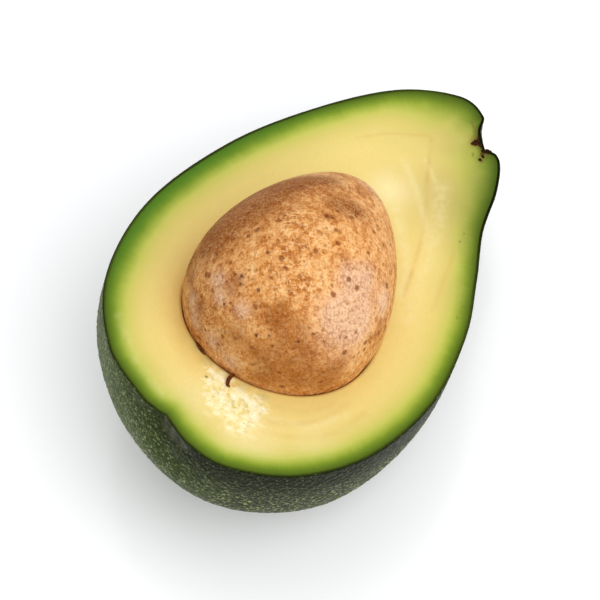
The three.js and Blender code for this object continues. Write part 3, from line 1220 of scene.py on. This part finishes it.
def tube(shape, path, radius, sides=10):
    """Adds a round strand along a path of face-frame points, thin at both ends."""
    ways = unit(np.gradient(path, axis=0))
    share = np.clip(np.linspace(0, 1, len(path)), 0.02, 0.98)
    thick = radius * (0.25 + 0.75 * np.sin(math.pi * share) ** 0.5)
    side = unit(np.cross(ways, (0, 0, 1)))
    rise = np.cross(side, ways)
    angles = np.linspace(0, 2 * math.pi, sides, endpoint=False)[:, None]
    around = side[:, None] * np.cos(angles) + rise[:, None] * np.sin(angles)
    places = to_row(path[:, None] + thick[:, None, None] * around)
    rings = [[shape.verts.new(Vector(place)) for place in ring] for ring in places]
    for near, far in zip(rings, rings[1:]):
        for i in range(sides):
            j = (i + 1) % sides
            shape.faces.new((near[i], near[j], far[j], far[i]))
    shape.faces.new(rings[0][::-1])
    shape.faces.new(rings[-1])


def small_piece(name, shape, slot, dark, light, roughness):
    """Makes a piece of rough brown crumbs or scraps from a bmesh."""
    piece = outward_object(name, shape, bpy.data.meshes.new(name))
    finish = Finish(name + "_brown")
    tone = finish.noise(finish.millimetres(), 0.5, 4.0, 0.65)
    finish.set(Base_Color=finish.mix(finish.span(tone, 0.35, 0.65), dark, light), Roughness=roughness,
               Specular_IOR_Level=0.1, Normal=finish.bump(tone, 0.00015, 0.6))
    finish_piece(piece, finish.material, slot)


class AVOCADO_OT_crumbs(bpy.types.Operator):
    """Makes the dark crumbs of the stalk's scar and the scraps of seed coat on the cut"""

    bl_idname = "avocado.crumbs"
    bl_label = "Crumbs and scraps"

    def execute(self, context):
        crumbs = bmesh.new()
        draw = np.random.default_rng(4)
        for px, py, radius in STALK_CRUMBS_PX:
            for _ in range(CRUMBS_PER_MARK):
                x, y = on_cut(px, py) + draw.normal(0, 0.42 * radius, 2)
                size = radius * draw.uniform(0.3, 0.7)
                lump(crumbs, (x, y, -0.6 * size), size, draw.uniform(0, 30))
        small_piece("stalk_scar", crumbs, "skin", srgb(12, 5, 2), srgb(74, 36, 14), 0.8)
        scraps = bmesh.new()
        for pixels, radius in SCRAPS_PX:
            path = smooth_path(pixels, 26)
            rise = 0.12 + 0.5 * radius * np.sin(np.linspace(0, math.pi, len(path)))
            tube(scraps, np.column_stack([path, rise]), radius)
        small_piece("coat_scraps", scraps, "seed", srgb(38, 14, 4), srgb(136, 66, 22), 0.6)
        return {"FINISHED"}


def shred_steps(material):
    """A Geometry Nodes tree that scatters bent strands of flesh over the torn place."""
    steps = Steps("torn_shreds", {
        "Density": 700000.0,
        "Strand length": 1.4 * MM,
        "Strand radius": 0.06 * MM,
        "Bend": 0.3 * MM,
        "Seed": 5,
    })
    given = steps.given
    spread = steps.node("GeometryNodeDistributePointsOnFaces", {
        "Mesh": given["Geometry"], "Density": steps.named("shred_room") * given["Density"],
        "Seed": given["Seed"]})
    half = given["Strand length"] * 0.5
    arc = steps.node("GeometryNodeCurveQuadraticBezier", {
        "Resolution": 8, "Start": steps.vector(half * -1.0), "Middle": steps.vector(0.0, given["Bend"]),
        "End": steps.vector(half)})
    profile = steps.node("GeometryNodeCurvePrimitiveCircle", {
        "Resolution": 6, "Radius": given["Strand radius"]})
    strand = steps.node("GeometryNodeCurveToMesh", {
        "Curve": arc.outputs[0], "Profile Curve": profile.outputs[0], "Fill Caps": True})
    turned = steps.vector(0.0, 0.0, steps.random(-1.1, 1.1, given["Seed"]))
    placed = steps.scatter(spread, strand.outputs[0], steps.random(0.4, 1.25, 11), turned)
    return steps.finish(placed, material)


class AVOCADO_OT_shreds(bpy.types.Operator):
    """Scatters the pale strands over the torn place"""

    bl_idname = "avocado.shreds"
    bl_label = "Torn strands"

    def execute(self, context):
        base = made_before("flesh_cut").data.copy()
        torn, ridge = np.empty((2, len(base.vertices)), np.float32)
        base.attributes["torn"].data.foreach_get("value", torn)
        base.attributes["ridge"].data.foreach_get("value", ridge)
        add_float(base, "shred_room", smoothstep(torn, 0.6, 1.0) * smoothstep(ridge, 0.2, 0.8))
        finish = Finish("shred_cream")
        finish.set(Base_Color=srgb(253, 243, 196), Roughness=0.4, Specular_IOR_Level=0.4,
                   Subsurface_Weight=0.2, Subsurface_Scale=0.001)
        finish_piece(grown_by(shred_steps(finish.material), base), finish.material, "flesh")
        return {"FINISHED"}


# Seed

SEED_RELIEF = 0.22


def seed_steps(settings, material):
    """A Geometry Nodes tree that turns a sphere into the seed's egg, wrinkled by noise."""
    turn = POSE @ Matrix(egg_axes().tolist())
    steps = Steps("seed_egg", {
        "Half length": settings.half_length,
        "Half width": settings.half_width,
        "Height to width": settings.height_to_width,
        "Taper": settings.taper,
        "Wrinkle height": SEED_RELIEF * MM,
        "Wrinkle scale": 7.0,
        "Segments": 320,
        "Rings": 220,
        "Turn": tuple(turn.to_euler()),
        "Place": tuple(to_row(SEED_CENTRE)),
    })
    given = steps.given
    sphere = steps.node("GeometryNodeMeshUVSphere", {
        "Segments": given["Segments"], "Rings": given["Rings"], "Radius": 1.0})
    where = steps.node("GeometryNodeInputPosition").outputs[0]
    kept = steps.node("GeometryNodeStoreNamedAttribute", {
        "Geometry": sphere.outputs["Mesh"], "Name": "egg", "Value": where},
        data_type="FLOAT_VECTOR", domain="POINT")
    axes = steps.node("ShaderNodeSeparateXYZ", {0: where}).outputs
    x, y, z = (Value(steps, axis) for axis in axes)
    width = steps.maths("SUBTRACT", 1.0, given["Taper"] * z) * given["Half width"]
    height = width * given["Height to width"]
    egg = steps.vector(z * given["Half length"], y * width, x * height * -1.0)
    shaped = steps.node("GeometryNodeSetPosition", {0: kept.outputs[0], "Position": egg})
    waves = steps.node("ShaderNodeTexNoise", {
        "Vector": steps.named("egg", "FLOAT_VECTOR"), "Scale": given["Wrinkle scale"],
        "Detail": 5.0, "Roughness": 0.6})
    push = steps.maths("SUBTRACT", waves.outputs[0], 1.0) * given["Wrinkle height"]
    normal = steps.node("GeometryNodeInputNormal").outputs[0]
    offset = steps.node("ShaderNodeVectorMath", {0: normal, "Scale": push}, operation="SCALE")
    wrinkled = steps.node("GeometryNodeSetPosition", {0: shaped.outputs[0], "Offset": offset.outputs[0]})
    placed = steps.node("GeometryNodeTransform", {
        0: wrinkled.outputs[0], "Translation": given["Place"], "Rotation": given["Turn"]})
    return steps.finish(placed.outputs[0], material)


def spots_on_seed(directions, marks, seed):
    """Share of each mark at the seed's points, as a soft uneven disc at the pixel's place."""
    share = np.zeros(len(directions))
    for px, py, radius in marks:
        distance = np.linalg.norm(directions - on_seed(px, py, seed), axis=1)
        near = distance < 3 * radius
        uneven = distance[near] + 0.35 * radius * noise_at(directions[near], 0.8 * radius)
        share[near] = np.maximum(share[near], 1 - smoothstep(uneven, 0.5 * radius, 1.15 * radius))
    return share


def hazes_on_seed(directions, marks, seed):
    share = np.zeros(len(directions))
    for px, py, radius in marks:
        share += haze(np.linalg.norm(directions - on_seed(px, py, seed), axis=1) / radius)
    return np.minimum(share, 1)


def points_of(mesh):
    """A mesh's points in millimetres in the cut face's frame."""
    flat = np.empty(len(mesh.vertices) * 3)
    mesh.vertices.foreach_get("co", flat)
    return flat.reshape(-1, 3) / MM @ POSE_ARRAY + REST_POINT


def seed_finish(settings):
    finish = Finish("seed_coat")
    place, at, span = finish.millimetres(), finish.attribute, finish.span
    broad = finish.noise(place, 6.0, 4.0, 0.6)
    mottle = finish.noise(place, 1.5, 4.0, 0.65)
    fine = finish.noise(place, 0.42, 3.0, 0.7)
    patches = finish.noise(place, 0.8, 2.0, 0.6)
    grit = finish.noise(place, 0.22, 2.0, 0.6)
    tone = broad * 0.36 + (mottle * 0.4 + fine * 0.24)
    shade = at("shade") * span(fine, 0.3, 0.65, 1.0, 0.55)
    first, second = (finish.noise(finish.drawn_out(place, angle, (1.1, 0.42, 1.0), shift), 1.0, 2.0)
                     for angle, shift in ((0.55, 3.0), (2.05, 9.0)))
    groove = span(finish.maths("MINIMUM", first, second), 0.33, 0.46, 0.42, 0.0)
    # Light scratches, strongest where they paint the highlight across the seed's middle.
    zone = span(at("scratch_and_highlight"), 0.1, 1.0, 0.22, 1.0, smooth=False)
    scratch_and_highlight = span(finish.larger(first, second), 0.53, 0.7, 0.0, 0.6) * zone
    patch = span(patches, 0.52, 0.64, 0.0, 0.4) * span(broad, 0.3, 0.65, 1.0, 0.3)
    pore = finish.larger(finish.dots(place, fine, 2.4, 0.34, 0.5, 0.1),
                         finish.dots(place, fine, 1.2, 0.42, 0.55, 0.14) * 0.6)
    coat = finish.layers(
        finish.ramp(tone, (0.37, srgb(158, 84, 26)), (0.45, srgb(204, 130, 60)),
                    (0.52, settings.coat), (0.62, srgb(250, 198, 134))),
        (shade, srgb(126, 60, 0)),
        (at("stain") * span(mottle, 0.34, 0.6, 0.3, 0.9), srgb(156, 84, 14)),
        # Pale bloom, partly a painted highlight at the lower right.
        (at("bloom_and_highlight") * span(fine, 0.3, 0.65, 0.4, 0.9), settings.bloom_and_highlight),
        (groove, srgb(160, 88, 32)),
        (scratch_and_highlight, srgb(255, 220, 166)),
        (patch, srgb(150, 74, 20)),
        (pore * 0.8, settings.deep),
        (at("smudge") * span(mottle, 0.35, 0.65, 0.15, 0.7), srgb(134, 88, 76)),
        (at("spot") * 0.92, srgb(90, 32, 10)),
        (span(grit, 0.5, 0.68, 0.0, 0.25), srgb(120, 64, 20)),
        (span(grit, 0.32, 0.46, 0.2, 0.0), srgb(255, 212, 150)),
    )
    height = mottle * 0.8 + scratch_and_highlight * 0.35 - pore * 0.3 + fine * 0.5
    finish.set(
        Base_Color=coat,
        Roughness=span(mottle, 0.3, 0.7, 0.42, 0.62),
        Specular_IOR_Level=span(shade, 0.0, 0.8, 0.12, 0.03),
        Specular_Tint=srgb(255, 232, 200),
        Normal=finish.bump(height, 0.00026, 0.7),
    )
    return finish.material


class AVOCADO_OT_seed(bpy.types.Operator):
    """Makes the brown seed that stands in the hollow"""

    bl_idname = "avocado.seed"
    bl_label = "Seed"

    def execute(self, context):
        settings = context.scene.avocado_seed
        material = seed_finish(settings)
        seed = grown_by(seed_steps(settings, material))
        directions = points_of(seed.data) - SEED_CENTRE
        add_float(seed.data, "spot", spots_on_seed(directions, SEED_SPOTS_PX, settings))
        for name, marks in (("smudge", SEED_SMUDGES_PX), ("stain", SEED_STAINS_PX),
                            ("bloom_and_highlight", SEED_BLOOM_AND_HIGHLIGHT_PX), ("shade", SEED_SHADE_PX),
                            ("scratch_and_highlight", SEED_SCRATCH_AND_HIGHLIGHT_PX)):
            add_float(seed.data, name, hazes_on_seed(directions, marks, settings))
        finish_piece(seed, material, "seed", "seed")
        return {"FINISHED"}


# Stage

FLOOR_REACH = 3.0


def area_light(name, power, size, azimuth, elevation, target):
    """A square soft light that looks at the target from that side, as far off as it is wide."""
    data = bpy.data.lights.new(name, "AREA")
    data.energy = power
    data.size = size
    lamp = new_object(name, data)
    back = bearing(azimuth, elevation)
    lamp.location = target + back * size
    lamp.rotation_euler = back.to_track_quat("Z", "Y").to_euler()


def set_camera(scene, middle):
    """A camera that shows what the picture shows, at its place and angle."""
    axes = view_axes()
    data = bpy.data.cameras.new("camera")
    data.sensor_width = SENSOR_WIDTH
    data.lens = SENSOR_WIDTH * VIEW_DISTANCE * PX_PER_MM / FRAME_WIDTH_PX
    data.clip_start = 0.05
    camera = new_object("camera", data)
    across = (FRAME_CENTRE_PX[0] - ORIGIN_PX[0]) / PX_PER_MM * MM
    upward = (ORIGIN_PX[1] - FRAME_CENTRE_PX[1]) / PX_PER_MM * MM
    target = middle + Vector(axes[0] * across + axes[1] * upward)
    camera.location = middle + Vector(axes[2]) * VIEW_DISTANCE * MM
    camera.rotation_euler = (camera.location - target).to_track_quat("Z", "Y").to_euler()
    scene.camera = camera


class AVOCADO_OT_stage(bpy.types.Operator):
    """Makes the floor, the lights and the camera at the picture's viewing angle"""

    bl_idname = "avocado.stage"
    bl_label = "Stage"

    def execute(self, context):
        scene = context.scene
        settings = scene.avocado_stage
        mesh = bpy.data.meshes.new("floor")
        corners = [(FLOOR_REACH * x, FLOOR_REACH * y, 0) for x, y in ((-1, -1), (1, -1), (1, 1), (-1, 1))]
        mesh.from_pydata(corners, [], [(0, 1, 2, 3)])
        floor = new_object("floor", mesh)
        finish = Finish("floor_white")
        finish.set(Base_Color=settings.floor, Roughness=0.16, Specular_IOR_Level=0.4,
                   Emission_Color=(1, 1, 1, 1), Emission_Strength=settings.floor_glow)
        mesh.materials.append(finish.material)
        middle = Vector(to_row((0, 0, 0)))
        area_light("key", settings.key_power, 1.0, -12, 52, middle)
        area_light("panel", settings.panel_power, 1.2, 122, 62, middle)
        world = bpy.data.worlds.new("soft_sky")
        world.use_nodes = True
        background = world.node_tree.nodes["Background"]
        background.inputs["Color"].default_value = (1, 1, 1, 1)
        background.inputs["Strength"].default_value = settings.sky
        scene.world = world
        scene.view_settings.view_transform = "Standard"
        set_camera(scene, middle)
        return {"FINISHED"}


class AVOCADO_PT_panel(bpy.types.Panel):
    """Lists the pieces of the avocado"""

    bl_idname = "AVOCADO_PT_panel"
    bl_label = "Avocado"
    bl_space_type = "VIEW_3D"
    bl_region_type = "UI"
    bl_category = "Avocado"

    def draw(self, context):
        for operator in OPERATORS:
            self.layout.operator(operator.bl_idname)
        for group in SETTINGS:
            for name in SETTINGS[group].__annotations__:
                self.layout.prop(getattr(context.scene, group), name)


SETTINGS = {"avocado_peel": PeelSettings, "avocado_flesh": FleshSettings,
            "avocado_seed": SeedSettings, "avocado_stage": StageSettings}
OPERATORS = (AVOCADO_OT_stage, AVOCADO_OT_seed, AVOCADO_OT_flesh, AVOCADO_OT_peel,
             AVOCADO_OT_specks, AVOCADO_OT_crumbs, AVOCADO_OT_shreds)


def register():
    for cls in (*SETTINGS.values(), *OPERATORS, AVOCADO_PT_panel):
        bpy.utils.register_class(cls)
    for name, cls in SETTINGS.items():
        setattr(bpy.types.Scene, name, bpy.props.PointerProperty(type=cls))


def unregister():
    for name in SETTINGS:
        delattr(bpy.types.Scene, name)
    for cls in (AVOCADO_PT_panel, *OPERATORS, *SETTINGS.values()):
        bpy.utils.unregister_class(cls)


def main():
    register()
    for operator in OPERATORS:
        group, name = operator.bl_idname.split(".")
        getattr(getattr(bpy.ops, group), name)()


if __name__ == "__main__":
    main()
